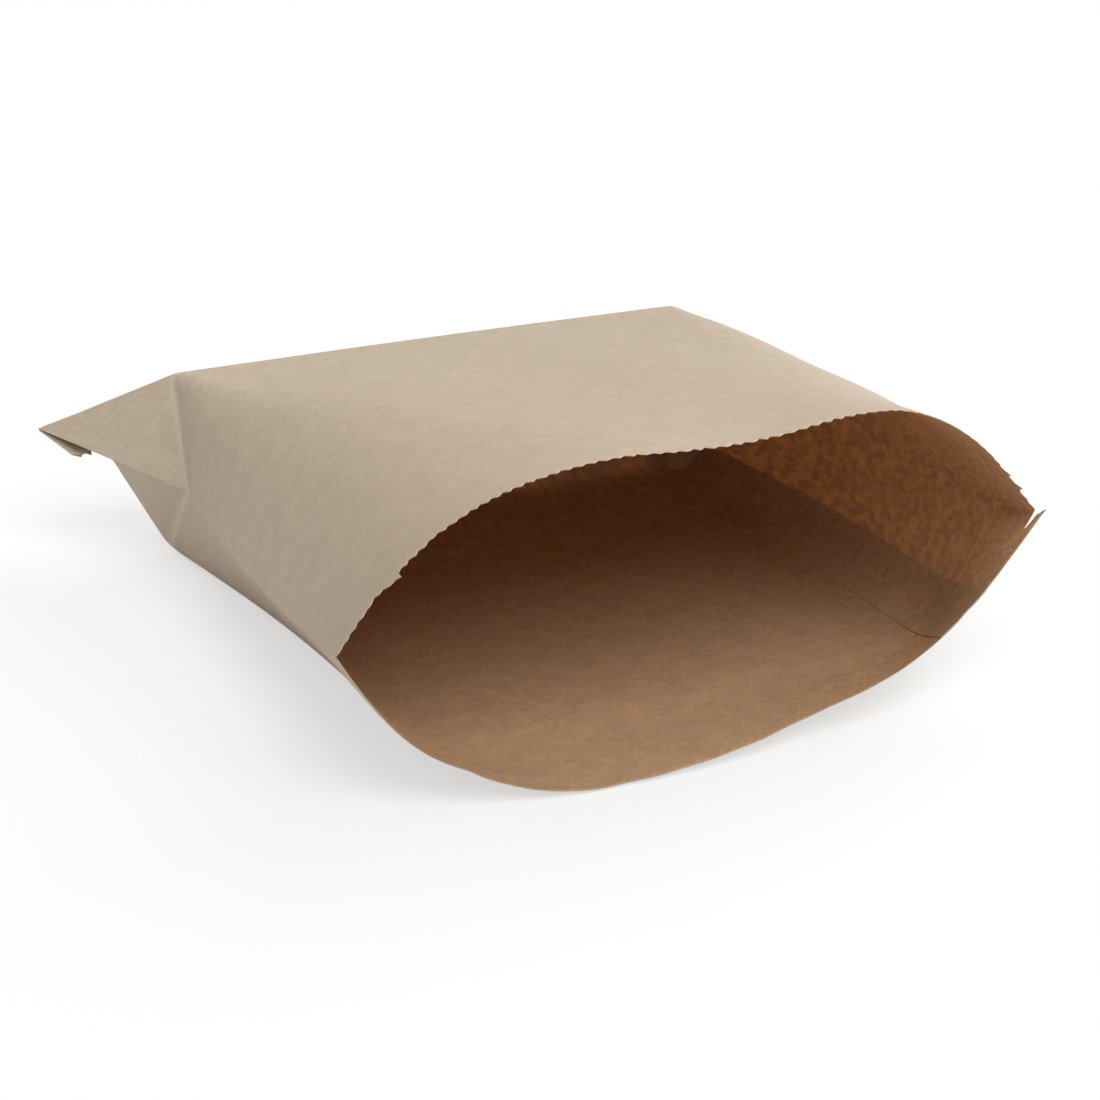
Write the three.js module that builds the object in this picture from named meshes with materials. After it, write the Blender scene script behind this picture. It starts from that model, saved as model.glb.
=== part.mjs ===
// A flat brown kraft paper sandwich bag, lying open on its lower panel.
// Millimetres, +Z up, the mouth towards -Y, the origin under the middle of the bag.
// The bag is one folded and glued sheet, so it is one closed solid: an upper and a lower panel that meet
// at two side folds and at the bottom fold. A point of the flat bag is (u, v): u runs across it from the
// left side fold, v runs along it from the bottom fold to the mouth. The folded shape is a loft over rails.
import * as THREE from "three";

// The flat bag
const BAG_WIDTH = 216;
const BAG_LENGTH = 216;
const PAPER = 0.2;

// The glued lengthwise lap on the lower panel, near the right side fold
const LAP_WIDTH = 18;
const LAP_FROM_FOLD = 24;

// The bottom, turned over once and glued to the lower panel
const FLAP_DEPTH = 14;
const FLAP_DROOP = 3.5;
const FLAP_LOOSE_LENGTH = 26;
const FLAP_END_TAPER = 2;

// The sawn edges of the mouth and of the flap
const TOOTH_PITCH = 3.2;
const TOOTH_DEPTH = 1;

// Damage to the upper edge of the mouth: a slit beside the right side fold and a torn notch on the left
const SLIT_DEPTH = 6;
const SLIT_WIDTH = 2.4;
const SLIVER_WIDTH = 0.8;
const NOTCH_DEPTH = 2;
const NOTCH_WIDTH = 8;
const NOTCH_FROM_FOLD = 37;

// Folds that square off the closed end, measured on the flat paper
const EAR_DEPTH = 52;
const EAR_WIDTH_LEFT = 28;
const EAR_WIDTH_RIGHT = 30;
const RIDGE_DEPTH = 38;
const HEEL_DEPTH = 40;
const HEEL_WIDTH = 30;

// Heights of the opened bag above the table
const EAR_TIP_HEIGHT = 33;
const BOTTOM_FOLD_HEIGHT = 24;
const RIDGE_HEIGHT = 55;
const WAIST_HEIGHT = 66;
const THROAT_HEIGHT = 72;
const MOUTH_HEIGHT = 72;
const LEFT_FOLD_HEIGHT = 26;
const RIGHT_FOLD_HEIGHT = 37;
const MOUTH_CORNER_HEIGHT = 40;
const LIP_LIFT = 10;

// Fineness of the loft
const COLUMN_STEP = 7;
const END_ROW_STEP = 1 / 6;
const BODY_ROW_STEP = 0.065;
const EDGE_MARGIN = 3;
const EDGE_BAND = Math.max(SLIT_DEPTH, NOTCH_DEPTH + TOOTH_DEPTH) + EDGE_MARGIN;
const PROBE = 1e-3;
const WELD = 1e-3;

// Stations along the bag: 0 at the bottom fold, 1 at the folds of the closed end, 2 at the mouth
const SEAM = 0;
const UNDER_FOLD = 0.5;
const END = 1;
const WAIST = 1.35;
const THROAT = 1.75;
const MOUTH = 2;

// How far a rail's bend at a station spreads along the bag, in stations
const CRISP = 0.012;
const CREASED = 0.05;
const ROUNDED = 0.1;
const FLOWING = 0.2;

// Places measured in from the flat bag's sides, from its closed end and from its mouth
const left = (inset) => inset - BAG_WIDTH / 2;
const right = (inset) => BAG_WIDTH / 2 - inset;
const back = (inset) => BAG_LENGTH / 2 - inset;
const front = (inset) => inset - BAG_LENGTH / 2;

// Side folds: station, x, y, z, spread of the bend
const LEFT_FOLD = [
  [SEAM, left(2), back(3), EAR_TIP_HEIGHT, 0],
  [END, left(28), back(48), LEFT_FOLD_HEIGHT, CRISP],
  [WAIST, left(20), 5, LEFT_FOLD_HEIGHT, FLOWING],
  [THROAT, left(17), front(50), LEFT_FOLD_HEIGHT + 2, FLOWING],
  [MOUTH, left(8), front(17), MOUTH_CORNER_HEIGHT, 0],
];
const RIGHT_FOLD = [
  [SEAM, right(2), back(3), EAR_TIP_HEIGHT - 3, 0],
  [END, right(16), back(51), RIGHT_FOLD_HEIGHT - 3, CRISP],
  [WAIST, right(10), 3, RIGHT_FOLD_HEIGHT, FLOWING],
  [THROAT, right(11), front(46), RIGHT_FOLD_HEIGHT + 1, FLOWING],
  [MOUTH, right(15.5), front(15.5), MOUTH_CORNER_HEIGHT + 4.4, 0],
];

// Rails between the folds: station, x, y, z, place across the paper, half width of the bend there, spread.
// The shoulders' and heels' place is counted in from their own side fold, the middle ones' from the left.
const LEFT_SHOULDER = [
  [SEAM, left(2), back(3), EAR_TIP_HEIGHT, 0, 0, 0],
  [END, left(30), back(33), RIDGE_HEIGHT, EAR_WIDTH_LEFT, 2, CRISP],
  [WAIST, left(36), 12, WAIST_HEIGHT - 6, 38, 26, FLOWING],
  [THROAT, left(38), front(53), THROAT_HEIGHT + 2, 48, 42, FLOWING],
  [MOUTH, left(42), front(17), MOUTH_HEIGHT + 16, 53, 45, 0],
];
const CROWN = [
  [SEAM, 0, back(4), BOTTOM_FOLD_HEIGHT, BAG_WIDTH / 2, 30, 0],
  [END, 0, back(34), RIDGE_HEIGHT, BAG_WIDTH / 2, 40, CREASED],
  [WAIST, 2, 12, WAIST_HEIGHT, BAG_WIDTH / 2, 60, FLOWING],
  [THROAT, 8, front(50), THROAT_HEIGHT, BAG_WIDTH / 2 + 4, 50, FLOWING],
  [MOUTH, 12, front(14), MOUTH_HEIGHT, BAG_WIDTH / 2 + 18, 28, 0],
];
const RIGHT_SHOULDER = [
  [SEAM, right(2), back(3), EAR_TIP_HEIGHT - 3, 0, 0, 0],
  [END, right(33), back(35), RIDGE_HEIGHT - 2, EAR_WIDTH_RIGHT, 2, CRISP],
  [WAIST, right(25), 10, WAIST_HEIGHT - 5, 34, 20, FLOWING],
  [THROAT, right(29), front(50), THROAT_HEIGHT + 1, 42, 32, FLOWING],
  [MOUTH, right(45), front(23), MOUTH_HEIGHT + 15, 52, 34, 0],
];
const LEFT_HEEL = [
  [UNDER_FOLD, ...follow(LEFT_FOLD, UNDER_FOLD), 0, 0, 0],
  [END, left(30), back(23), 0, HEEL_WIDTH, 3, CREASED],
  [WAIST, left(39), 5, 0, 34, 8, FLOWING],
  [THROAT, left(40), front(43), 0, 38, 12, FLOWING],
  [MOUTH, left(40.5), front(1.5), 0, 54, 30, 0],
];
const FLOOR = [
  [SEAM, 0, back(4), BOTTOM_FOLD_HEIGHT, BAG_WIDTH / 2, 30, 0],
  [END, 0, back(29), 0, BAG_WIDTH / 2, 30, CREASED],
  [WAIST, 0, 3, 0, BAG_WIDTH / 2, 30, FLOWING],
  [THROAT, 0, front(43), 0, BAG_WIDTH / 2, 30, FLOWING],
  [MOUTH, -7, front(0), LIP_LIFT - 7.6, BAG_WIDTH / 2, 30, 0],
];
const RIGHT_HEEL = [
  [UNDER_FOLD, ...follow(RIGHT_FOLD, UNDER_FOLD), 0, 0, 0],
  [END, right(26), back(28), 0, HEEL_WIDTH, 3, CREASED],
  [WAIST, right(22), 3, 0, 32, 10, FLOWING],
  [THROAT, right(25), front(46), 0, 34, 10, ROUNDED],
  [MOUTH, right(52), front(6), LIP_LIFT, 52, 18, 0],
];

const UPPER = {
  rails: [LEFT_SHOULDER, CROWN, RIGHT_SHOULDER],
  endFold: [
    [0, EAR_DEPTH],
    [EAR_WIDTH_LEFT, RIDGE_DEPTH],
    [BAG_WIDTH - EAR_WIDTH_RIGHT, RIDGE_DEPTH],
    [BAG_WIDTH, EAR_DEPTH],
  ],
  outward: -1,
};
const LOWER = {
  rails: [LEFT_HEEL, FLOOR, RIGHT_HEEL],
  endFold: [
    [0, EAR_DEPTH],
    [EAR_WIDTH_LEFT, HEEL_DEPTH],
    [BAG_WIDTH - EAR_WIDTH_RIGHT, HEEL_DEPTH],
    [BAG_WIDTH, EAR_DEPTH],
  ],
  outward: 1,
};

// A bend: 0 before it, x after it, and a parabola within half a width of it.
function bend(x, half) {
  if (x <= -half) return 0;
  if (x >= half) return x;
  return (x + half) ** 2 / (4 * half);
}

// A line through the values at the knots, with each inner corner rounded over its half width.
function bentLine(t, knots, values, halves) {
  const slope = (i, k) => {
    const run = knots[i + 1] - knots[i];
    return run > 0 ? (values[i + 1][k] - values[i][k]) / run : 0;
  };
  return values[0].map((start, k) => {
    let sum = start + slope(0, k) * (t - knots[0]);
    for (let i = 1; i < knots.length - 1; i++) {
      sum += (slope(i, k) - slope(i - 1, k)) * bend(t - knots[i], halves[i]);
    }
    return sum;
  });
}

// A rail's values at a station.
function follow(rail, station) {
  return bentLine(
    station,
    rail.map((row) => row[0]),
    rail.map((row) => row.slice(1, -1)),
    rail.map((row) => row.at(-1)),
  );
}

// A rail that leaves a side fold part of the way along it, and lies in that fold before.
function leave(rail, fold, station) {
  return station <= rail[0][0] ? [...follow(fold, station), 0, 0] : follow(rail, station);
}

// The point of a panel at u across the paper and at a station along the bag.
function pointAt(panel, u, station) {
  const leftRail = leave(panel.rails[0], LEFT_FOLD, station);
  const middleRail = follow(panel.rails[1], station);
  const rightRail = leave(panel.rails[2], RIGHT_FOLD, station);
  const corners = [
    follow(LEFT_FOLD, station),
    leftRail.slice(0, 3),
    middleRail.slice(0, 3),
    rightRail.slice(0, 3),
    follow(RIGHT_FOLD, station),
  ];
  const knots = [0, leftRail[3], middleRail[3], BAG_WIDTH - rightRail[3], BAG_WIDTH];
  const leftHalf = Math.min(leftRail[4], leftRail[3]);
  const rightHalf = Math.min(rightRail[4], rightRail[3]);
  const halves = [0, leftHalf, middleRail[4], rightHalf, 0];
  return new THREE.Vector3(...bentLine(u, knots, corners, halves));
}

// The station of the paper point (u, v): the closed end takes 0 to 1, and the rest takes 1 to 2.
function stationAt(panel, u, v) {
  const i = panel.endFold.findIndex((corner, k) => k > 0 && u <= corner[0]);
  const [u0, v0] = panel.endFold[i - 1];
  const [u1, v1] = panel.endFold[i];
  const fold = v0 + ((v1 - v0) * (u - u0)) / (u1 - u0);
  return v < fold ? v / fold : 1 + (v - fold) / (BAG_LENGTH - fold);
}

// The outward direction of one panel.
function panelNormal(panel, u, station) {
  const clamp = THREE.MathUtils.clamp;
  const along = (s) => pointAt(panel, u, clamp(s, SEAM, MOUTH));
  const across = (x) => pointAt(panel, clamp(x, 0, BAG_WIDTH), station);
  const stepAcross = across(u + BAG_WIDTH * PROBE).sub(across(u - BAG_WIDTH * PROBE));
  const stepAlong = along(station + PROBE).sub(along(station - PROBE));
  return stepAcross.cross(stepAlong).multiplyScalar(panel.outward).normalize();
}

// The outward direction of the bag, shared by both panels where they meet.
function normalAt(panel, u, station) {
  const shared = u === 0 || u === BAG_WIDTH || station === SEAM;
  if (!shared) return panelNormal(panel, u, station);
  const inside = Math.max(station, PROBE);
  return panelNormal(UPPER, u, inside).add(panelNormal(LOWER, u, inside)).normalize();
}

// Stops, with evenly spaced values between them no further apart than a step.
function spread(stops, step) {
  const filled = stops.slice(1).flatMap((end, i) => {
    const count = Math.ceil((end - stops[i]) / step);
    return Array.from({ length: count }, (_, k) => stops[i] + ((end - stops[i]) * k) / count);
  });
  return [...filled, stops.at(-1)];
}

// Values in rising order, each once.
function inOrder(values) {
  return [...new Set(values)].sort((a, b) => a - b);
}

// The lap: the inner layer's free edge shows inside the bag, the outer layer's free edge outside it.
const LAP_INNER_EDGE = BAG_WIDTH - LAP_FROM_FOLD - LAP_WIDTH;
const LAP_OUTER_EDGE = BAG_WIDTH - LAP_FROM_FOLD;

// How much of the lap's step is left between its outer edge and the right side fold.
const lapFade = (u) => Math.min(1, (BAG_WIDTH - u) / LAP_FROM_FOLD);

// Stations of the closed end's rows, and columns that cross them on the folds of the ears.
const FLAP_STATION = FLAP_DEPTH / EAR_DEPTH;
const endStations = inOrder([...spread([SEAM, UNDER_FOLD, END], END_ROW_STEP), FLAP_STATION]);
const panelColumns = inOrder([EAR_WIDTH_LEFT, LAP_INNER_EDGE, BAG_WIDTH - EAR_WIDTH_RIGHT]);
const plainColumns = inOrder([
  ...endStations.map((station) => station * EAR_WIDTH_LEFT),
  ...endStations.map((station) => BAG_WIDTH - station * EAR_WIDTH_RIGHT),
  ...spread(panelColumns, COLUMN_STEP),
  LAP_OUTER_EDGE,
]);

// Columns with the one at a free edge doubled, so that the edge is a step in the surface.
function steppedColumns(edge) {
  return plainColumns.flatMap((u) => (u === edge ? [[u, 0], [u, 1]] : [[u, u > edge ? 1 : 0]]));
}
const flatColumns = plainColumns.map((u) => [u, 0]);

// One row of a surface: its points, each with its place on the paper.
function makeRow(panel, columns, stationOf, offsetOf) {
  return columns.map(([u, lapped]) => {
    const station = stationOf(u);
    const offset = offsetOf(u, station, lapped);
    const point = pointAt(panel, u, station).addScaledVector(normalAt(panel, u, station), offset);
    return { panel, u, station, point };
  });
}

// The sawn line across the bag: its points alternate between the teeth's tips and their roots.
const toothCount = Math.round(BAG_WIDTH / TOOTH_PITCH);
const sawnLine = Array.from({ length: 2 * toothCount + 1 }, (_, k) => ({
  u: (BAG_WIDTH * k) / (2 * toothCount),
  cut: k % 2 ? TOOTH_DEPTH : 0,
}));

// The cut line of the mouth's upper edge: teeth, the torn notch and the slit.
function mouthLine() {
  const slit = BAG_WIDTH - SLIVER_WIDTH - SLIT_WIDTH / 2;
  const teeth = sawnLine
    .filter(({ u }) => u === BAG_WIDTH || Math.abs(u - slit) > SLIT_WIDTH / 2)
    .map(({ u, cut }) => {
      const fromNotch = (2 * Math.abs(u - NOTCH_FROM_FOLD)) / NOTCH_WIDTH;
      return { u, v: BAG_LENGTH - cut - NOTCH_DEPTH * Math.max(0, 1 - fromNotch) };
    });
  const tear = [
    { u: slit - SLIT_WIDTH / 2, v: BAG_LENGTH },
    { u: slit, v: BAG_LENGTH - SLIT_DEPTH },
    { u: slit + SLIT_WIDTH / 2, v: BAG_LENGTH },
  ];
  return [...teeth, ...tear].sort((a, b) => a.u - b.u);
}

// A row along a cut line of a panel.
function cutRow(panel, line, offsetOf) {
  const depth = new Map(line.map(({ u, v }) => [u, v]));
  return makeRow(panel, line.map(({ u }) => [u, 0]), (u) => stationAt(panel, u, depth.get(u)), offsetOf);
}

// Triangles between two rows, each cell split along the diagonal that lies closer to the folded paper.
function zip(rowA, rowB, faces, flip) {
  const add = (a, b, c) => faces.push(flip ? [a, c, b] : [a, b, c]);
  let i = 0;
  let j = 0;
  while (i < rowA.length - 1 || j < rowB.length - 1) {
    const nextA = rowA[i + 1];
    const nextB = rowB[j + 1];
    let stepA = !nextB || (nextA && nextA.u < nextB.u);
    if (nextA && nextB && nextA.u === nextB.u) stepA = sag(nextA, rowB[j]) <= sag(rowA[i], nextB);
    if (stepA) {
      add(rowA[i].point, nextA.point, rowB[j].point);
      i++;
    } else {
      add(rowA[i].point, nextB.point, rowB[j].point);
      j++;
    }
  }
}

// How far the middle of a chord lies from the folded paper.
function sag(a, b) {
  const middle = pointAt(a.panel, (a.u + b.u) / 2, (a.station + b.station) / 2);
  return middle.distanceTo(a.point.clone().lerp(b.point, 0.5));
}

// All the faces of the bag: outside, inside and the cut edge that joins them at the mouth.
function bagFaces() {
  const faces = [];
  const edgeStation = MOUTH - EDGE_BAND / (BAG_LENGTH - EAR_DEPTH);
  const stations = [...endStations.slice(0, -1), ...spread([END, edgeStation], BODY_ROW_STEP)];
  const still = (station) => () => station;
  const flapThickness = (u, station) => {
    const fromSide = Math.min(u, BAG_WIDTH - u);
    const loose = Math.max(0, 1 - fromSide / FLAP_LOOSE_LENGTH) * (station / FLAP_STATION);
    const taper = Math.min(1, fromSide / FLAP_END_TAPER);
    return station === SEAM ? 0 : (2 * PAPER + FLAP_DROOP * loose) * taper;
  };
  const lapOutside = (u, station, lapped) => (station === SEAM ? 0 : -PAPER * lapped * lapFade(u));
  const lapInside = (u, station, lapped) => -PAPER * (station === SEAM ? 1 : 1 + lapped * lapFade(u));
  const upperInside = () => -PAPER;
  const none = () => 0;

  // Upper panel, outside and inside
  const mouth = mouthLine();
  const upperOuter = stations.map((s) => makeRow(UPPER, flatColumns, still(s), none));
  upperOuter.push(cutRow(UPPER, mouth, none));
  const upperInner = stations.map((s) => makeRow(UPPER, flatColumns, still(s), upperInside));
  upperInner.push(cutRow(UPPER, mouth, upperInside));

  // Lower panel, outside with the glued flap's step and the lap's outer edge
  const outerColumns = steppedColumns(LAP_OUTER_EDGE);
  const sawn = sawnLine.map(({ u, cut }) => ({ u, v: FLAP_DEPTH - (u > 0 && u < BAG_WIDTH ? cut : 0) }));
  const lowerOuter = stations
    .filter((s) => s < FLAP_STATION)
    .map((s) => makeRow(LOWER, flatColumns, still(s), flapThickness));
  lowerOuter.push(cutRow(LOWER, sawn, flapThickness));
  lowerOuter.push(cutRow(LOWER, sawn, none));
  const bare = stations.filter((s) => s > FLAP_STATION);
  lowerOuter.push(...[...bare, MOUTH].map((s) => makeRow(LOWER, outerColumns, still(s), lapOutside)));

  // Lower panel, inside with the lap's inner edge
  const innerColumns = steppedColumns(LAP_INNER_EDGE);
  const lowerInner = [...stations, MOUTH].map((s) => makeRow(LOWER, innerColumns, still(s), lapInside));

  const skin = (rows, flip) => rows.slice(1).forEach((row, i) => zip(rows[i], row, faces, flip));
  skin(upperOuter, true);
  skin(upperInner, false);
  skin(lowerOuter, false);
  skin(lowerInner, true);
  zip(upperOuter.at(-1), upperInner.at(-1), faces, true);
  zip(lowerOuter.at(-1), lowerInner.at(-1), faces, false);
  return faces;
}

// One indexed geometry from the faces, standing on the table with the origin under its middle.
function bagGeometry() {
  const index = [];
  const positions = [];
  const seen = new Map();
  const vertex = (point) => {
    const key = point.toArray().map((c) => Math.round(c / WELD)).join();
    if (!seen.has(key)) {
      seen.set(key, seen.size);
      positions.push(...point.toArray());
    }
    return seen.get(key);
  };
  for (const face of bagFaces()) {
    const [a, b, c] = face.map(vertex);
    if (a !== b && b !== c && c !== a) index.push(a, b, c);
  }
  const geometry = new THREE.BufferGeometry();
  geometry.setAttribute("position", new THREE.Float32BufferAttribute(positions, 3));
  geometry.setIndex(index);
  geometry.computeBoundingBox();
  const { min, max } = geometry.boundingBox;
  geometry.translate(-(min.x + max.x) / 2, -(min.y + max.y) / 2, -min.z);
  geometry.computeVertexNormals();
  return geometry;
}

const kraft = new THREE.MeshStandardMaterial({ color: 0xb79f7f, roughness: 0.9, metalness: 0 });
const bag = new THREE.Mesh(bagGeometry(), kraft);
bag.name = "paper_bag";

const group = new THREE.Group();
group.add(bag);

export default group;
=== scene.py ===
import math

import bpy
import numpy as np
from mathutils import Matrix, Vector


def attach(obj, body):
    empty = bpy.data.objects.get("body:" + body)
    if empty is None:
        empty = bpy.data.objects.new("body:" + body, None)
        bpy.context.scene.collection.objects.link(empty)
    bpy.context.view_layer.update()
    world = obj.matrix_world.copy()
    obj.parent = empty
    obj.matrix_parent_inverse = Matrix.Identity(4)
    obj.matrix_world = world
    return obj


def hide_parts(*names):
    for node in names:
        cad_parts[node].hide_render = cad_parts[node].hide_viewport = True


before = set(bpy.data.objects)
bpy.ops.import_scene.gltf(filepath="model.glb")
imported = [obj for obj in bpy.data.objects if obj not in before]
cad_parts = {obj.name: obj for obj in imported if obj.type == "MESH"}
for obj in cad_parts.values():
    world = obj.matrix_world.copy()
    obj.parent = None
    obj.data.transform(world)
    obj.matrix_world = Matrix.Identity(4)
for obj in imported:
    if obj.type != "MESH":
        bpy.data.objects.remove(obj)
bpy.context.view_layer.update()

# A flat brown kraft paper sandwich bag, lying open on its lower panel, made as the real one is: one sheet,
# wrapped into a tube with a glued lap, and turned over once at the bottom.
# Sizes are in millimetres, and the mesh is put into metres at the end. A point of the flat bag is (u, v):
# u runs across it from the left side fold, v runs along it from the bottom fold to the mouth.
MM = 0.001

# The flat bag
BAG_WIDTH = 216.0
BAG_LENGTH = 216.0
PAPER = 0.12
GLUE_GAP = 0.03
LAYER = PAPER + GLUE_GAP

# The glued lengthwise lap on the lower panel, near the right side fold
LAP_WIDTH = 17.0
LAP_FROM_FOLD = 21.5
LAP_INNER_EDGE = BAG_WIDTH - LAP_FROM_FOLD - LAP_WIDTH
LAP_OUTER_EDGE = BAG_WIDTH - LAP_FROM_FOLD

# The bottom, turned over once and glued to the lower panel, its ends a little loose
FLAP_DEPTH = 14.0
FLAP_DROOP = 3.5
FLAP_LOOSE_LENGTH = 26.0

# The sawn edges of the mouth and of the flap
TOOTH_PITCH = 3.2
TOOTH_DEPTH = 2.2
TOOTH_UNEVENNESS = 0.35
TOOTH_SEED = 11

# Damage to the mouth: torn notches and a torn step on the left, frayed points on the right, an uneven lip,
# and at the right side fold a slit along the lip, with a strip of paper that leans over it past the fold.
# A wave of the lip is its millimetres for one radian and its start in radians.
STRIP_WIDTH = 4.0
STRIP_FOOT = 9.5
STRIP_REACH = 7.5
STRIP_CURVE = 0.25
SLIT_LENGTH = 5.5
SLIT_WIDTH = 1.5
SLIT_LEAST_WIDTH = 0.5
SLIT_CORNER = 2.5
NOTCH_WIDTH = 7.0
NOTCH_PLACES = (16.0, 37.0)
NOTCH_DEPTHS = (1.4, 1.2)
STEP_LENGTH = 5.0
STEP_WIDTH = 6.5
STEP_FROM_FOLD = 24.0
FRAY_WIDTH = 2.2
FRAY_PLACES = (11.0, 15.5)
FRAY_LENGTHS = (8.0, 4.5)
LIP_UNEVENNESS = 0.3
LIP_WAVES = ((4.1, 0.0), (7.3, 1.0), (2.3, 2.0))
LIP_SCOOP = 1.8
LIP_SCOOP_WIDTH = 56.0
LIP_SCOOP_FROM_FOLD = 84.0
LIP_NICK = 1.4
LIP_NICK_WIDTH = 4.0
LIP_NICK_FROM_FOLD = 29.0
EDGE_BAND = 9.0

# The left wall bulges out a little below the side fold, near the mouth
WALL_BULGE = 2.4
WALL_BULGE_WIDTH = 44.0
WALL_BULGE_START = 1.6

# Slow waves in the upper panel, each as its millimetres for one radian across and along the bag, and its
# start in radians
WAVES = ((15.0, 27.0, 0.0), (-31.0, 11.0, 1.0), (9.0, -40.0, 2.0))
WAVE_HEIGHT = 0.45
WAVE_FADE = 24.0

# Painted highlight: paler lines painted along the folds of the ears, where the folds catch the light
FOLD_HIGHLIGHT_WIDTH = 1.2
FOLD_HIGHLIGHT_FADE = 8.0

# Folds that square off the closed end, measured on the flat paper
EAR_DEPTH = 52.0
EAR_WIDTH_LEFT = 28.0
EAR_WIDTH_RIGHT = 30.0
RIDGE_DEPTH = 38.0
HEEL_DEPTH = 40.0
HEEL_WIDTH = 30.0

# Heights of the opened bag above the table
EAR_TIP_HEIGHT = 33.6
BOTTOM_FOLD_HEIGHT = 24.0
RIDGE_HEIGHT = 55.0
WAIST_HEIGHT = 66.0
THROAT_HEIGHT = 72.0
MOUTH_HEIGHT = 74.7
LEFT_FOLD_HEIGHT = 26.0
RIGHT_FOLD_HEIGHT = 37.0
MOUTH_CORNER_HEIGHT = 40.0
LIP_LIFT = 15.0

# Stations along the bag: 0 at the bottom fold, 1 at the folds of the closed end, 2 at the mouth
SEAM = 0.0
UNDER_FOLD = 0.5
END = 1.0
WAIST = 1.35
THROAT = 1.75
MOUTH = 2.0

# How far a rail's bend at a station spreads along the bag, in stations
CRISP = 0.012
CREASED = 0.05
ROUNDED = 0.1
FLOWING = 0.2

# The sheet's three runs of columns, numbered from the one that lies next to the lower panel in the flap
IN_UNDER = 0
IN_LAP = 1
IN_UPPER = 2

# Fineness of the sheet's grid. FOLD_STEP is the spacing beside a fold, EDGE_ZONE the part before the mouth,
# in stations, that has closer rows, and CREASE_ROWS the rows at the folds of the closed end, in stations
# from them. CLOSED_EAR is the share of the columns' spacing that is left in a closed ear, and SQUEEZED the
# share of the rows' spacing that is left beyond the slit.
COLUMNS_PER_TOOTH = 6
PLAIN_COLUMN = 1.7
STRIP_COLUMNS = 6
SLIT_COLUMNS = 8
FOLD_STEP = 0.4
END_ROWS = 22
BODY_ROWS = 38
EDGE_ROWS = 8
EDGE_ZONE = 0.06
CREASE_ROWS = (-0.06, -0.04, -0.025, -0.012, -0.005, 0.003, 0.006, 0.009, 0.012, 0.02, 0.03)
CLOSED_EAR = 0.03
SQUEEZED = 0.02
HAIR = 1e-6
PROBE = 1e-3

# The camera: how it looks at the bag, in degrees and millimetres
LOOK_AZIMUTH = 25.84
LOOK_DOWN = 22.0
CAMERA_PLACE = (-413.2, -853.1, 399.6)
LENS = 125.02
SENSOR = 36.0


def left(inset):
    """A place measured in from the flat bag's left side."""
    return inset - BAG_WIDTH / 2


def right(inset):
    """A place measured in from the flat bag's right side."""
    return BAG_WIDTH / 2 - inset


def back(inset):
    """A place measured in from the flat bag's closed end."""
    return BAG_LENGTH / 2 - inset


def front(inset):
    """A place measured in from the flat bag's mouth."""
    return inset - BAG_LENGTH / 2


def bend(x, half):
    """A bend: 0 before it, x after it, and the parabola (x + half)^2 / (4 half) within half a width of it."""
    half = np.maximum(half, HAIR)
    return np.where(x >= half, x, np.where(x <= -half, 0.0, (x + half) ** 2 / (4 * half)))


def bent_line(t, knots, values, halves):
    """A line through the values at the knots, its corners rounded: the first slope carried on, and at each
    inner knot the change of slope times a bend of that knot's half width."""
    runs = np.diff(knots, axis=0)[..., None]
    slopes = np.diff(values, axis=0) / np.where(runs > 0, runs, np.inf)
    line = values[0] + slopes[0] * (t - knots[0])[..., None]
    for i in range(1, len(knots) - 1):
        line = line + (slopes[i] - slopes[i - 1]) * bend(t - knots[i], halves[i])[..., None]
    return line


def follow(rail, station):
    """A rail's values at each station: the bent line over the rail's rows."""
    rows = np.array(rail)
    return bent_line(station, rows[:, :1], rows[:, None, 1:-1], rows[:, -1:])


# Side folds: station, x, y, z, spread of the bend
LEFT_FOLD = [
    (SEAM, left(1), back(3), EAR_TIP_HEIGHT, 0),
    (END, left(28), back(48), LEFT_FOLD_HEIGHT, CRISP),
    (WAIST, left(20), 5, LEFT_FOLD_HEIGHT, FLOWING),
    (THROAT, left(17), front(50), LEFT_FOLD_HEIGHT + 2, FLOWING),
    (MOUTH, left(8), front(17), MOUTH_CORNER_HEIGHT, 0),
]
RIGHT_FOLD = [
    (SEAM, right(2), back(3), EAR_TIP_HEIGHT - 3, 0),
    (END, right(16), back(51), RIGHT_FOLD_HEIGHT - 3, CRISP),
    (WAIST, right(10), 3, RIGHT_FOLD_HEIGHT, FLOWING),
    (THROAT, right(11), front(46), RIGHT_FOLD_HEIGHT + 1, FLOWING),
    (MOUTH, right(14.2), front(15), MOUTH_CORNER_HEIGHT + 3.2, 0),
]


def on_fold(fold, station):
    """The one point of a side fold at a station."""
    return tuple(follow(fold, np.array([station]))[0])


# Rails between the folds: station, x, y, z, place across the paper, half width of the bend there, spread.
# The shoulders' and heels' place is counted in from their own side fold, the middle ones' from the left.
LEFT_SHOULDER = [
    (SEAM, left(1), back(3), EAR_TIP_HEIGHT, 0, 0, 0),
    (END, left(30), back(33), RIDGE_HEIGHT, EAR_WIDTH_LEFT, 2, CRISP),
    (WAIST, left(36), 12, WAIST_HEIGHT - 6, 38, 26, FLOWING),
    (THROAT, left(38), front(53), THROAT_HEIGHT + 2, 48, 42, FLOWING),
    (MOUTH, left(42), front(17), MOUTH_HEIGHT + 8.8, 53, 45, 0),
]
CROWN = [
    (SEAM, 0, back(4), BOTTOM_FOLD_HEIGHT, BAG_WIDTH / 2, 30, 0),
    (END, 0, back(34), RIDGE_HEIGHT, BAG_WIDTH / 2, 40, CREASED),
    (WAIST, 2, 12, WAIST_HEIGHT, BAG_WIDTH / 2, 60, FLOWING),
    (THROAT, 8, front(50), THROAT_HEIGHT, BAG_WIDTH / 2 + 4, 50, FLOWING),
    (MOUTH, 12, front(14), MOUTH_HEIGHT, BAG_WIDTH / 2 + 14, 28, 0),
]
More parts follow.
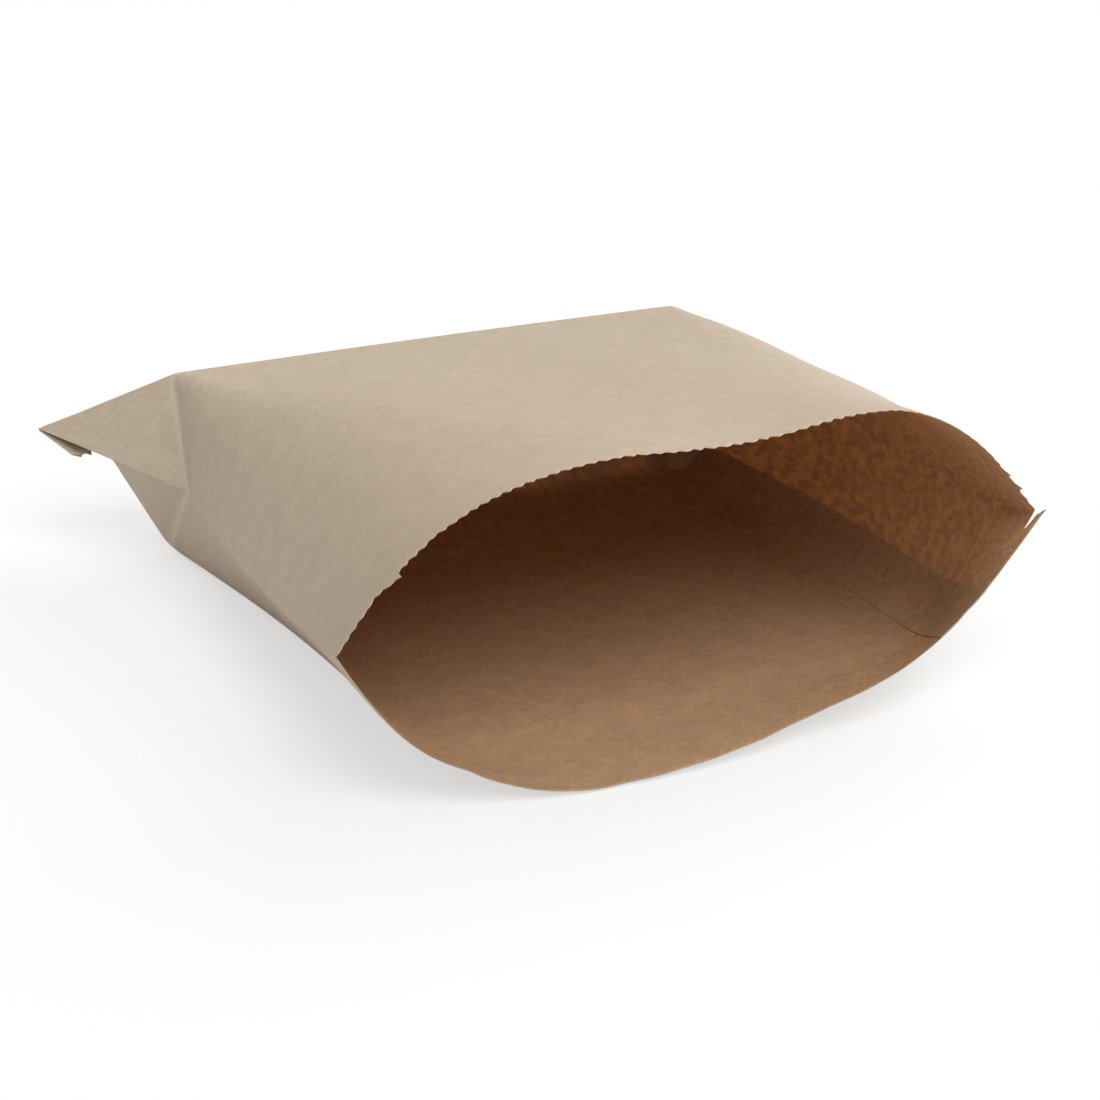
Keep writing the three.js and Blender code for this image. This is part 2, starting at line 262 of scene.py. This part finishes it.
RIGHT_SHOULDER = [
    (SEAM, right(2), back(3), EAR_TIP_HEIGHT - 3, 0, 0, 0),
    (END, right(33), back(35), RIDGE_HEIGHT - 2, EAR_WIDTH_RIGHT, 2, CRISP),
    (WAIST, right(25), 10, WAIST_HEIGHT - 7, 34, 20, FLOWING),
    (THROAT, right(29), front(50), THROAT_HEIGHT - 1, 42, 32, FLOWING),
    (MOUTH, right(45), front(23), MOUTH_HEIGHT + 8.9, 52, 34, 0),
]
LEFT_HEEL = [
    (UNDER_FOLD, *on_fold(LEFT_FOLD, UNDER_FOLD), 0, 0, 0),
    (END, left(30), back(23), 0, HEEL_WIDTH, 3, CREASED),
    (WAIST, left(39), 5, 0, 34, 8, FLOWING),
    (THROAT, left(40), front(43), 0, 38, 12, FLOWING),
    (MOUTH, left(40.5), front(1.5), 0, 54, 30, 0),
]
FLOOR_LINE = [
    (SEAM, 0, back(4), BOTTOM_FOLD_HEIGHT, BAG_WIDTH / 2, 30, 0),
    (END, 0, back(29), 0, BAG_WIDTH / 2, 30, CREASED),
    (WAIST, 0, 3, 0, BAG_WIDTH / 2, 30, FLOWING),
    (THROAT, 0, front(43), 0, BAG_WIDTH / 2, 30, FLOWING),
    (MOUTH, -7, front(-2), 1, BAG_WIDTH / 2, 30, 0),
]
RIGHT_HEEL = [
    (UNDER_FOLD, *on_fold(RIGHT_FOLD, UNDER_FOLD), 0, 0, 0),
    (END, right(26), back(28), 0, HEEL_WIDTH, 3, CREASED),
    (WAIST, right(22), 3, 0, 32, 10, FLOWING),
    (THROAT, right(25), front(46), 0, 34, 10, ROUNDED),
    (MOUTH, right(46), front(7.5), LIP_LIFT, 38.5, 24, 0),
]

UPPER = {"rails": (LEFT_SHOULDER, CROWN, RIGHT_SHOULDER), "end_depth": RIDGE_DEPTH, "outward": -1.0}
LOWER = {"rails": (LEFT_HEEL, FLOOR_LINE, RIGHT_HEEL), "end_depth": HEEL_DEPTH, "outward": 1.0}


def leave(rail, fold, station):
    """A rail that leaves a side fold part of the way along it: it lies in the fold before."""
    in_fold = np.pad(follow(fold, station), ((0, 0), (0, 2)))
    return np.where((station <= rail[0][0])[:, None], in_fold, follow(rail, station))


def panel_point(panel, u, station):
    """Points of a panel, for flat arrays of places across the paper and of stations: at each station the two
    side folds and the three rails are five corners of a line across the bag, bent at the rails' places."""
    left_fold, right_fold = follow(LEFT_FOLD, station), follow(RIGHT_FOLD, station)
    left_rail = leave(panel["rails"][0], LEFT_FOLD, station)
    middle = follow(panel["rails"][1], station)
    right_rail = leave(panel["rails"][2], RIGHT_FOLD, station)
    none = np.zeros_like(u)
    knots = np.stack([none, left_rail[:, 3], middle[:, 3], BAG_WIDTH - right_rail[:, 3], none + BAG_WIDTH])
    corners = np.stack([left_fold, left_rail[:, :3], middle[:, :3], right_rail[:, :3], right_fold])
    halves = np.stack([
        none,
        np.minimum(left_rail[:, 4], left_rail[:, 3]),
        middle[:, 4],
        np.minimum(right_rail[:, 4], right_rail[:, 3]),
        none,
    ])
    return bent_line(u, knots, corners, halves)


def panel_normal(panel, u, station):
    """The outward direction of a panel: the cross product of a small step across and a small step along."""
    def across(step):
        return panel_point(panel, np.clip(u + step, 0, BAG_WIDTH), station)

    def along(step):
        return panel_point(panel, u, np.maximum(station + step, SEAM))

    step_across = across(BAG_WIDTH * PROBE) - across(-BAG_WIDTH * PROBE)
    step_along = along(PROBE) - along(-PROBE)
    return unit(panel["outward"] * np.cross(step_across, step_along))


def unit(vectors):
    """Vectors brought to length 1."""
    return vectors / np.maximum(np.linalg.norm(vectors, axis=-1, keepdims=True), HAIR)


def end_fold(panel, u):
    """How far from the bottom fold the closed end is folded over: EAR_DEPTH at the side folds, and the
    panel's own depth between the ears."""
    places = [0, EAR_WIDTH_LEFT, BAG_WIDTH - EAR_WIDTH_RIGHT, BAG_WIDTH]
    return np.interp(u, places, [EAR_DEPTH, panel["end_depth"], panel["end_depth"], EAR_DEPTH])


def smooth_step(x):
    """0 up to 0, 1 from 1 on, and 3x^2 - 2x^3 between."""
    x = np.clip(x, 0, 1)
    return x * x * (3 - 2 * x)


def saw_cut(u):
    """How deep the saw has cut the edge: a zigzag of the teeth's pitch, each tooth of its own depth."""
    count = math.ceil(BAG_WIDTH / TOOTH_PITCH) + 1
    draws = np.random.default_rng(TOOTH_SEED)
    depths = TOOTH_DEPTH * (1 + TOOTH_UNEVENNESS * draws.uniform(-1, 1, count))
    tooth = np.floor(u / TOOTH_PITCH).astype(int)
    zigzag = np.abs(2 * (u / TOOTH_PITCH - tooth) - 1)
    return depths[tooth] * zigzag


def peak(u, middle, width):
    """A peak of height 1 and of a width: it falls off evenly to both sides, and is 0 beyond."""
    return np.maximum(0, 1 - 2 * np.abs(u - middle) / width)


def mouth_cut(u):
    """How far the upper edge of the mouth is cut back: the teeth, V-shaped notches and the corner down to the
    slit, less the torn step and two frayed points. The step grows evenly and ends at once."""
    corner_share = np.maximum(0, 1 - (BAG_WIDTH - u) / SLIT_CORNER)
    corner = (STRIP_WIDTH + SLIT_WIDTH) * corner_share
    notches = sum(d * peak(u, place, NOTCH_WIDTH) for place, d in zip(NOTCH_PLACES, NOTCH_DEPTHS))
    step = STEP_LENGTH * np.clip(1 - (STEP_FROM_FOLD - u) / STEP_WIDTH, 0, 1) * (u < STEP_FROM_FOLD)
    frays = sum(d * peak(u, BAG_WIDTH - place, FRAY_WIDTH) for place, d in zip(FRAY_PLACES, FRAY_LENGTHS))
    return saw_cut(u) * (corner_share == 0) + notches + corner - step - frays


def lip_cut(u):
    """How far the lower lip strays from a straight cut: half the sum of slow waves of unlike lengths, a
    shallow scoop and a nick."""
    waves = sum(np.sin(u / radian + start) for radian, start in LIP_WAVES) / 2
    scoop = smooth_step(peak(u, BAG_WIDTH - LIP_SCOOP_FROM_FOLD, LIP_SCOOP_WIDTH))
    nick = peak(u, BAG_WIDTH - LIP_NICK_FROM_FOLD, LIP_NICK_WIDTH)
    fade = smooth_step(np.minimum(u, BAG_WIDTH - u) / EDGE_BAND)
    return fade * LIP_UNEVENNESS * waves + LIP_SCOOP * scoop + LIP_NICK * nick


def tear_corner(u, v):
    """The lower panel's corner at the right side fold, torn. Along the strip the paper leans past the fold,
    by the strip's reach times its share from foot to slit and times a power of its share from slit to lip.
    Beside the strip it ends at the slit, which widens evenly towards the fold."""
    from_fold = BAG_WIDTH - u
    from_slit = np.clip(1 - (BAG_LENGTH - v) / STRIP_WIDTH, 0, 1)
    from_foot = np.clip((STRIP_FOOT - from_fold) / (STRIP_FOOT - SLIT_LENGTH), 0, 1)
    leaning = u + STRIP_REACH * from_foot * from_slit ** STRIP_CURVE
    widening = (SLIT_WIDTH - SLIT_LEAST_WIDTH) * (1 - from_fold / SLIT_LENGTH)
    end = BAG_LENGTH - STRIP_WIDTH - SLIT_LEAST_WIDTH - widening
    ended = np.where(v > end, end + SQUEEZED * (v - end), v)
    on_strip = from_fold > SLIT_LENGTH - HAIR
    return np.where(on_strip, leaning, u), np.where(on_strip, v, ended)


def wall_bulge(u, station):
    """How far the lower panel's left wall stands out: half a sine wave across it, growing to the mouth."""
    across = np.sin(np.pi * np.clip(u / WALL_BULGE_WIDTH, 0, 1))
    return WALL_BULGE * across * smooth_step((station - WALL_BULGE_START) / (MOUTH - WALL_BULGE_START))


def upper_waves(u, v, from_fold):
    """Slow waves of the upper panel: half the sum of sine waves that cross it aslant, fading out at its
    folds."""
    waves = sum(np.sin(u / across + v / along + start) for across, along, start in WAVES)
    fade = smooth_step(np.minimum(u, BAG_WIDTH - u) / WAVE_FADE) * smooth_step(from_fold / WAVE_FADE)
    return WAVE_HEIGHT * fade * waves / 2


def painted_fold_highlight(u, from_fold):
    """How much painted highlight the paper carries, 0 to 1: a bell curve across the folds of the ears that
    fades out beside them.
    """
    ear_width = np.where(u < BAG_WIDTH / 2, EAR_WIDTH_LEFT, EAR_WIDTH_RIGHT)
    beside = np.minimum(u, BAG_WIDTH - u) - ear_width
    return np.exp(-(from_fold / FOLD_HIGHLIGHT_WIDTH) ** 2) * (1 - smooth_step(beside / FOLD_HIGHLIGHT_FADE))


def stretch(places, marks, moved):
    """Places carried along with marks on their line: each mark goes to its new place, and what lies between
    two marks keeps its share of the way between them."""
    carried = moved[0]
    for i in range(len(marks) - 1):
        share = np.clip((places - marks[i]) / (marks[i + 1] - marks[i]), 0, 1)
        carried = carried + share * (moved[i + 1] - moved[i])
    return carried


def run_along_folds(column, station, layer):
    """Columns that run along the folds of the ears, so that a fold lies on the grid: the upper panel's ears
    close up evenly towards the bottom fold, the lower panel's towards UNDER_FOLD."""
    upper_ear = np.clip(np.abs(station), CLOSED_EAR, 1)
    lower_ear = np.clip((np.abs(station) - UNDER_FOLD) / (END - UNDER_FOLD), CLOSED_EAR, 1)
    left_heel, right_heel = HEEL_WIDTH * lower_ear, BAG_WIDTH - HEEL_WIDTH * lower_ear
    lap = stretch(
        column, (LAP_INNER_EDGE, BAG_WIDTH - HEEL_WIDTH, BAG_WIDTH), (LAP_INNER_EDGE, right_heel, BAG_WIDTH)
    )
    upper = stretch(
        column,
        (0, EAR_WIDTH_LEFT, BAG_WIDTH - EAR_WIDTH_RIGHT, BAG_WIDTH),
        (0, EAR_WIDTH_LEFT * upper_ear, BAG_WIDTH - EAR_WIDTH_RIGHT * upper_ear, BAG_WIDTH),
    )
    under = stretch(column, (0, HEEL_WIDTH, LAP_OUTER_EDGE), (0, left_heel, LAP_OUTER_EDGE))
    return np.choose(layer, [under, lap, upper])


# The sheet's columns, from the lap's inner free edge over the right side fold, the upper panel and the left
# side fold to the lap's outer free edge; beside each fold the spacing is the same on both sides.
def between(start, end, count):
    """Evenly spaced places, with one more close to each end."""
    sign = math.copysign(FOLD_STEP, end - start)
    places = np.linspace(start, end, count)
    return np.concatenate([places[:1], [start + sign], places[1:-1], [end - sign], places[-1:]])


TOOTH_COUNT = round(BAG_WIDTH / TOOTH_PITCH)
STRIP_PLACE, SLIT_PLACE = BAG_WIDTH - STRIP_FOOT, BAG_WIDTH - SLIT_LENGTH
lap_columns = np.concatenate([
    between(LAP_INNER_EDGE, STRIP_PLACE, round((STRIP_PLACE - LAP_INNER_EDGE) / PLAIN_COLUMN))[:-1],
    np.linspace(STRIP_PLACE, SLIT_PLACE, STRIP_COLUMNS),
    np.linspace(SLIT_PLACE, BAG_WIDTH, SLIT_COLUMNS)[1:-1],
    [BAG_WIDTH - FOLD_STEP],
])
upper_columns = between(BAG_WIDTH, 0, TOOTH_COUNT * COLUMNS_PER_TOOTH + 1)
under_columns = between(0, LAP_OUTER_EDGE, round(LAP_OUTER_EDGE / PLAIN_COLUMN))[1:]
column_u = np.concatenate([lap_columns, upper_columns, under_columns])
column_counts = [len(lap_columns), len(upper_columns), len(under_columns)]
column_layer = np.repeat([IN_LAP, IN_UPPER, IN_UNDER], column_counts)
column_step = np.abs(np.diff(column_u, prepend=column_u[0]))
sheet_across = np.cumsum(column_step)

# The sheet's rows: stations from the flap's free edge, counted below 0, over the bottom fold to the mouth
FLAP_STATION = FLAP_DEPTH / EAR_DEPTH
panel_stations = np.unique(np.concatenate([
    np.linspace(SEAM, END, END_ROWS),
    [FOLD_STEP / EAR_DEPTH, FLAP_STATION],
    END + np.array(CREASE_ROWS),
    np.linspace(END, MOUTH - EDGE_ZONE, BODY_ROWS),
    np.linspace(MOUTH - EDGE_ZONE, MOUTH, EDGE_ROWS),
]))
flap_stations = -panel_stations[(panel_stations > SEAM) & (panel_stations <= FLAP_STATION)][::-1]
row_station = np.concatenate([flap_stations, panel_stations])


def lay_sheet():
    """The sheet's outer face as a grid of points, with each point's place on the flat sheet and its share of
    the painted fold highlight.
    A point is its panel's point, raised along the panel's outward direction by the layers under it. A row of
    the flap lies on the lower panel, as far below the bottom fold as the row is past it."""
    station, column = np.meshgrid(row_station, column_u, indexing="ij")
    layer = np.broadcast_to(column_layer, column.shape)
    u = run_along_folds(column, station, layer)
    is_upper = layer == IN_UPPER
    is_lap = layer == IN_LAP
    is_flap = station < SEAM
    depth = np.where(is_upper & ~is_flap, end_fold(UPPER, u), end_fold(LOWER, u))
    v = np.where(station < END, station * depth, depth + (station - END) * (BAG_LENGTH - depth))
    cut = np.where(is_upper, mouth_cut(u), lip_cut(u))
    v = v - cut * np.clip((v - BAG_LENGTH + EDGE_BAND) / EDGE_BAND, 0, None)
    v = v + np.where(is_flap, saw_cut(u) * v / -FLAP_DEPTH, 0)
    torn_u, torn_v = tear_corner(u, v)
    u, v = np.where(is_lap, torn_u, u), np.where(is_lap, torn_v, v)
    place = np.where(np.abs(v) < depth, np.abs(v) / depth, END + (v - depth) / (BAG_LENGTH - depth))

    flat_u, flat_place = u.ravel(), np.clip(place, SEAM, None).ravel()
    on_upper = (is_upper & ~is_flap).ravel()[:, None]

    def on_panels(measure):
        """A measure of the upper panel for the points that lie on it, and of the lower panel for the rest."""
        return np.where(on_upper, measure(UPPER, flat_u, flat_place), measure(LOWER, flat_u, flat_place))

    lap_fade = np.minimum(1, (BAG_WIDTH - u) / LAP_FROM_FOLD)
    from_side = np.minimum(u, BAG_WIDTH - u)
    loose = np.maximum(0, 1 - from_side / FLAP_LOOSE_LENGTH) * np.abs(v) / FLAP_DEPTH
    flap_lift = GLUE_GAP + layer * LAYER + np.where(is_upper, PAPER, 0) + FLAP_DROOP * loose
    over_flap = LAYER * np.clip(1 - v / FLAP_DEPTH, 0, 1)
    under_lift = wall_bulge(u, station)
    upper_lift = over_flap + upper_waves(u, v, v - depth)
    panel_lift = np.choose(layer, [under_lift, -LAYER * lap_fade, upper_lift])
    lift = np.where(is_flap, flap_lift, panel_lift)
    points = on_panels(panel_point) + on_panels(panel_normal) * lift.ravel()[:, None]
    flat = np.stack([np.broadcast_to(sheet_across, u.shape), v], -1)
    return points.reshape(*u.shape, 3), flat, painted_fold_highlight(u, v - depth)


def grid_normals(points):
    """The direction in which a grid's outer face looks: the cross product of the steps along its two ways."""
    return unit(np.cross(np.gradient(points, axis=1), np.gradient(points, axis=0)))


def quads(index):
    """The four corners of every cell of a grid of vertex numbers, in turn."""
    return np.stack([index[:-1, :-1], index[:-1, 1:], index[1:, 1:], index[1:, :-1]], -1).reshape(-1, 4)


def thin_shell(name, outer, inner, flat, fold_highlight):
    """A closed mesh from two grids of the same shape: the outer face, the inner face turned round, and a
    strip along the four edges. Both faces carry the flat sheet's places as their UV map, in metres, and the
    painted highlight along the folds of the ears as an attribute."""
    rows, columns = outer.shape[:2]
    index = np.arange(rows * columns).reshape(rows, columns)
    under = index + rows * columns
    rim = np.concatenate([index[0, :], index[1:, -1], index[-1, -2::-1], index[-2::-1, 0]])
    rim_pair = np.stack([rim, rim + rows * columns])
    parts = [quads(index), quads(under)[:, ::-1], quads(rim_pair)[:, ::-1]]
    faces = np.concatenate(parts)
    face_counts = [len(part) for part in parts]
    points = np.concatenate([outer.reshape(-1, 3), inner.reshape(-1, 3)])
    places = np.concatenate([flat.reshape(-1, 2)] * 2)
    mesh = bpy.data.meshes.new(name)
    mesh.from_pydata(points, [], faces)
    mesh.polygons.foreach_set("material_index", np.repeat([0, 1, 0], face_counts))
    mesh.uv_layers.new(name="paper").data.foreach_set("uv", places[faces.ravel()].astype(np.float32).ravel())
    mesh.attributes.new("fold_highlight", "FLOAT", "POINT").data.foreach_set("value", np.tile(fold_highlight.ravel(), 2))
    mesh.shade_smooth()
    mesh.validate()
    piece = bpy.data.objects.new(name, mesh)
    bpy.context.scene.collection.objects.link(piece)
    return piece


class Wire:
    """A value on its way through a material: it wraps a socket, and arithmetic on wires adds Math nodes."""

    def __init__(self, tree, socket=None):
        self.tree = tree
        self.socket = socket

    def node(self, kind, sockets=None, output=0, **settings):
        """Adds a node of a kind: its settings first, then its sockets' values or links. Wraps one output."""
        made = self.tree.nodes.new(kind)
        for name, value in settings.items():
            setattr(made, name, value)
        for key, value in (sockets or {}).items():
            if isinstance(value, Wire):
                self.tree.links.new(value.socket, made.inputs[key])
            else:
                made.inputs[key].default_value = value
        return Wire(self.tree, made.outputs[output]) if made.outputs else None

    def math(self, operation, first, second):
        return self.node("ShaderNodeMath", {0: first, 1: second}, operation=operation)

    def __add__(self, other):
        return self.math("ADD", self, other)

    def __radd__(self, other):
        return self.math("ADD", other, self)

    def __sub__(self, other):
        return self.math("SUBTRACT", self, other)

    def __rsub__(self, other):
        return self.math("SUBTRACT", other, self)

    def __mul__(self, other):
        return self.math("MULTIPLY", self, other)

    def __rmul__(self, other):
        return self.math("MULTIPLY", other, self)

    def __rtruediv__(self, other):
        return self.math("DIVIDE", other, self)

    def above(self, low, high):
        """0 below low, 1 above high, and a smooth step between."""
        return self.node(
            "ShaderNodeMapRange",
            {"Value": self, "From Min": low, "From Max": high},
            interpolation_type="SMOOTHSTEP",
        )

    def blend(self, low_colour, high_colour):
        """A colour between two: the first where this value is 0, the second where it is 1."""
        return self.node(
            "ShaderNodeMix", {0: self, 6: low_colour, 7: high_colour}, output=2, data_type="RGBA"
        )


def colour(red, green, blue):
    """A colour as a socket takes it."""
    return (red, green, blue, 1.0)


# Kraft paper: linear colours of one face of the sheet, and the least and most share of light that comes
# through it. The outer face is glazed, paler and even, and the inner one is rough, browner and cloudy.
OUTER_FACE = {
    "dark": colour(0.54, 0.445, 0.325),
    "light": colour(0.65, 0.555, 0.425),
    "roughness": 0.55,
    "through": (0.19, 0.22),
}
INNER_FACE = {
    "dark": colour(0.44, 0.28, 0.155),
    "light": colour(0.58, 0.39, 0.23),
    "roughness": 0.8,
    "through": (0.10, 0.31),
}
KRAFT_SPECK = colour(0.30, 0.20, 0.11)
# Painted highlight: the paler colour painted along the folds of the ears, where they catch the light
KRAFT_FOLD_HIGHLIGHT = colour(0.70, 0.62, 0.51)
KRAFT_THROUGH = colour(0.88, 0.50, 0.20)

# The paper's marks: their sizes in millimetres, how fine the noise is that draws them, and their shares in
# the paper's tone, in its thin places and in its bump. A range is where a mixed noise goes from 0 to 1.
CLOUD_WIDTH = 1.8
CLOUD_LENGTH = 4.0
FORMATION_SIZE = 7.0
FIBRE_LENGTH = 2.4
FIBRE_WIDTH = 0.35
NOISE_DETAIL = 3.0
FORMATION_DETAIL = 4.0
TONE_FIBRES = 0.6
TONE_CROSS_FIBRES = 0.15
TONE_FORMATION = 0.25
TONE_RANGE = (0.35, 0.65)
THIN_CLOUDS = 0.8
THIN_FORMATION = 0.2
THIN_RANGE = (0.38, 0.63)
BUMP_FIBRES = 0.6
BUMP_CROSS_FIBRES = 0.4
BUMP_STRENGTH = 0.35
BUMP_HEIGHT = 0.05
# Share of the painted highlight along the folds of the ears
FOLD_HIGHLIGHT_STRENGTH = 0.8

# Dark specks: one in some of the cells of a pattern, its core and its rim as shares of a cell
SPECK_SPACING = 3.0
SPECK_CHOICE = (0.70, 0.72)
SPECK_CORE = 0.16 / 3
SPECK_RIM = 0.16
SPECK_STRENGTH = 0.6


def kraft_paper(name, face):
    """One face of uncoated brown kraft: fibres along the bag, cloudy formation, dark specks, and light that
    comes through more in the thin clouds than in the thick ones."""
    material = bpy.data.materials.new(name)
    material.use_nodes = True
    tree = material.node_tree
    tree.nodes.clear()
    start = Wire(tree)
    paper = start.node("ShaderNodeTexCoord", output="UV")

    def noise(across, along, detail):
        """Cloudy noise whose marks are so many millimetres across and along the sheet."""
        scale = (1 / (across * MM), 1 / (along * MM), 1.0)
        place = start.node("ShaderNodeVectorMath", {0: paper, 1: scale}, operation="MULTIPLY")
        return start.node("ShaderNodeTexNoise", {"Vector": place, "Scale": 1.0, "Detail": detail})

    def cells(output):
        """One output of the pattern of cells that holds the specks."""
        scale = 1 / (SPECK_SPACING * MM)
        return start.node("ShaderNodeTexVoronoi", {"Vector": paper, "Scale": scale}, output=output)

    fibres = noise(FIBRE_WIDTH, FIBRE_LENGTH, NOISE_DETAIL)
    cross_fibres = noise(FIBRE_LENGTH, FIBRE_WIDTH, NOISE_DETAIL)
    formation = noise(FORMATION_SIZE, FORMATION_SIZE, FORMATION_DETAIL)
    clouds = noise(CLOUD_WIDTH, CLOUD_LENGTH, NOISE_DETAIL)
    speck = cells("Color").above(*SPECK_CHOICE) * (1.0 - cells("Distance").above(SPECK_CORE, SPECK_RIM))
    # Painted highlight: how much paler the paper is painted along the folds of the ears
    fold_highlight = start.node("ShaderNodeAttribute", output="Fac", attribute_name="fold_highlight")

    tone = fibres * TONE_FIBRES + cross_fibres * TONE_CROSS_FIBRES + formation * TONE_FORMATION
    base = tone.above(*TONE_RANGE).blend(face["dark"], face["light"])
    # The folds of the ears painted paler, as a painted highlight
    highlighted = (fold_highlight * FOLD_HIGHLIGHT_STRENGTH).blend(base, KRAFT_FOLD_HIGHLIGHT)
    marked = (speck * SPECK_STRENGTH).blend(highlighted, KRAFT_SPECK)
    thin = (clouds * THIN_CLOUDS + formation * THIN_FORMATION).above(*THIN_RANGE)
    least, most = face["through"]
    share = least + thin * (most - least)
    # What a face reflects is (1 - share) times its colour, so the colour is divided by that to stay even.
    evened = (1 - (least + most) / 2) / (1 - share)
    face_colour = start.node("ShaderNodeVectorMath", {0: marked, "Scale": evened}, operation="SCALE")
    relief = fibres * BUMP_FIBRES + cross_fibres * BUMP_CROSS_FIBRES
    bump = start.node(
        "ShaderNodeBump",
        {"Height": relief, "Strength": BUMP_STRENGTH, "Distance": BUMP_HEIGHT * MM},
    )
    reflected = start.node(
        "ShaderNodeBsdfPrincipled",
        {"Base Color": face_colour, "Roughness": face["roughness"], "Normal": bump},
    )
    passed = start.node("ShaderNodeBsdfTranslucent", {"Color": KRAFT_THROUGH})
    sheet = start.node("ShaderNodeMixShader", {0: share, 1: reflected, 2: passed})
    start.node("ShaderNodeOutputMaterial", {"Surface": sheet})
    return material


def make_bag(outer, flat, fold_highlight, shift):
    """The folded sheet as one closed thin shell, in the CAD node's place."""
    inner = outer - PAPER * grid_normals(outer)
    bag = thin_shell("kraft_bag", (outer + shift) * MM, (inner + shift) * MM, flat * MM, fold_highlight)
    bag.data.materials.append(kraft_paper("kraft_outer_face", OUTER_FACE))
    bag.data.materials.append(kraft_paper("kraft_inner_face", INNER_FACE))
    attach(bag, "root")
    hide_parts("paper_bag")


# The studio, in metres: a pale floor, a pale sky and two large, far, soft lamps, in front and behind on the
# right. A lamp of level 1 shows a white sheet that faces it as white: its power is WHITE_POWER times the
# square of its distance.
FLOOR_HALF = 8.0
FLOOR_HEIGHT = -0.0001
FLOOR_COLOUR = colour(0.87, 0.87, 0.87)
FLOOR_GLOW = 0.6
SKY_STRENGTH = 0.45
LAMP_DISTANCE = 6.0
LAMP_SIDE = 4.5
LAMPS = {
    "front_lamp": {"towards": (0.02, -0.60, 0.80), "level": 0.70},
    "back_lamp": {"towards": (0.80, 0.36, 0.48), "level": 0.66},
}
WHITE_POWER = math.pi ** 2


def make_floor():
    """A plane just under the bag. It keeps the bag's shadow, and glows a little where the camera sees it."""
    sides = ((-1, -1), (1, -1), (1, 1), (-1, 1))
    corners = [(x * FLOOR_HALF, y * FLOOR_HALF, FLOOR_HEIGHT) for x, y in sides]
    mesh = bpy.data.meshes.new("floor")
    mesh.from_pydata(corners, [], [(0, 1, 2, 3)])
    floor = bpy.data.objects.new("floor", mesh)
    bpy.context.scene.collection.objects.link(floor)
    floor_paint = bpy.data.materials.new("floor_paint")
    floor_paint.use_nodes = True
    floor_paint.node_tree.nodes.clear()
    start = Wire(floor_paint.node_tree)
    matt = start.node("ShaderNodeBsdfDiffuse", {"Color": FLOOR_COLOUR})
    white = start.node("ShaderNodeEmission", {"Color": colour(1, 1, 1)})
    seen = start.node("ShaderNodeLightPath", output="Is Camera Ray")
    shown = start.node("ShaderNodeMixShader", {0: seen * FLOOR_GLOW, 1: matt, 2: white})
    start.node("ShaderNodeOutputMaterial", {"Surface": shown})
    mesh.materials.append(floor_paint)


def make_sky():
    """An even pale sky, which the camera sees as white."""
    world = bpy.data.worlds.new("studio")
    world.use_nodes = True
    world.node_tree.nodes.clear()
    start = Wire(world.node_tree)
    seen = start.node("ShaderNodeLightPath", output="Is Camera Ray")
    strength = SKY_STRENGTH + seen * (1 - SKY_STRENGTH)
    sky = start.node("ShaderNodeBackground", {"Color": colour(1, 1, 1), "Strength": strength})
    start.node("ShaderNodeOutputWorld", {"Surface": sky})
    bpy.context.scene.world = world


def make_lamps():
    """Square area lamps that look at the bag."""
    for name, lamp in LAMPS.items():
        light = bpy.data.lights.new(name, "AREA")
        light.size = LAMP_SIDE
        light.energy = lamp["level"] * WHITE_POWER * LAMP_DISTANCE ** 2
        stand = bpy.data.objects.new(name, light)
        stand.location = Vector(lamp["towards"]).normalized() * LAMP_DISTANCE
        stand.rotation_euler = (-stand.location).to_track_quat("-Z", "Y").to_euler()
        bpy.context.scene.collection.objects.link(stand)


def make_camera(shift):
    """The camera at its place, looking along its azimuth and down. Its axes point to the right, up and
    backwards."""
    azimuth, down = math.radians(LOOK_AZIMUTH), math.radians(LOOK_DOWN)
    ahead = np.array([
        math.sin(azimuth) * math.cos(down),
        math.cos(azimuth) * math.cos(down),
        -math.sin(down),
    ])
    rightward = np.array([math.cos(azimuth), -math.sin(azimuth), 0.0])
    upward = np.cross(rightward, ahead)
    data = bpy.data.cameras.new("camera")
    data.lens = LENS
    data.sensor_width = SENSOR
    camera = bpy.data.objects.new("camera", data)
    turn = Matrix(np.stack([rightward, upward, -ahead], axis=1).tolist()).to_4x4()
    camera.matrix_world = Matrix.Translation((np.array(CAMERA_PLACE) + shift) * MM) @ turn
    bpy.context.scene.collection.objects.link(camera)
    bpy.context.scene.camera = camera


sheet_points, sheet_places, sheet_fold_highlight = lay_sheet()
box_low, box_high = sheet_points.reshape(-1, 3).min(0), sheet_points.reshape(-1, 3).max(0)
to_frame = np.array([-(box_low[0] + box_high[0]) / 2, -(box_low[1] + box_high[1]) / 2, -box_low[2]])
make_bag(sheet_points, sheet_places, sheet_fold_highlight, to_frame)
make_floor()
make_sky()
make_lamps()
make_camera(to_frame)
bpy.context.scene.view_settings.view_transform = "Standard"
